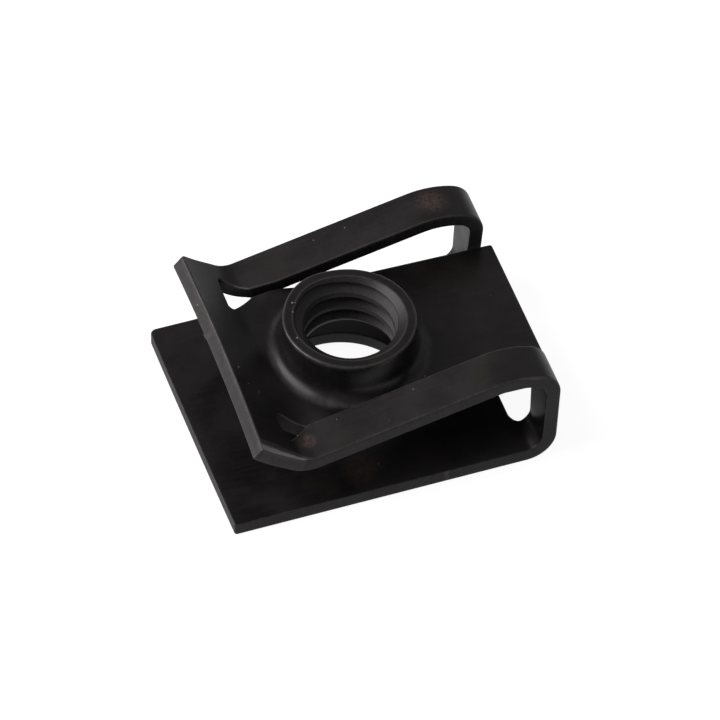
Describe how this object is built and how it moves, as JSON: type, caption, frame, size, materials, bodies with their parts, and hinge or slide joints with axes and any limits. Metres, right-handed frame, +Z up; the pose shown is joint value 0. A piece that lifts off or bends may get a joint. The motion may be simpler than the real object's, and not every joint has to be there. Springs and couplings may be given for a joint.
{
  "type": "clip nut",
  "caption": "Sheet-metal clip nut folded from one strip of black spring steel: a sprung tongue with a drawn, threaded barrel lies between two side straps over a leaf with a clearance hole.",
  "frame": {"origin": "centre of the screw clearance hole in the lower leaf, on the plane that the leaf rests on", "axes": "+X along the strip from the open mouth to the fold, +Y across the strip, +Z up from the lower leaf towards the threaded barrel"},
  "size_m": [0.0192, 0.015, 0.0069],
  "materials": {
    "spring_steel": "near-black phosphate or black zinc coating over pressed spring steel, satin, with thinly coated brighter edges"
  },
  "bodies": {
    "root": {"clip_nut": "spring_steel"}
  },
  "joints": []
}
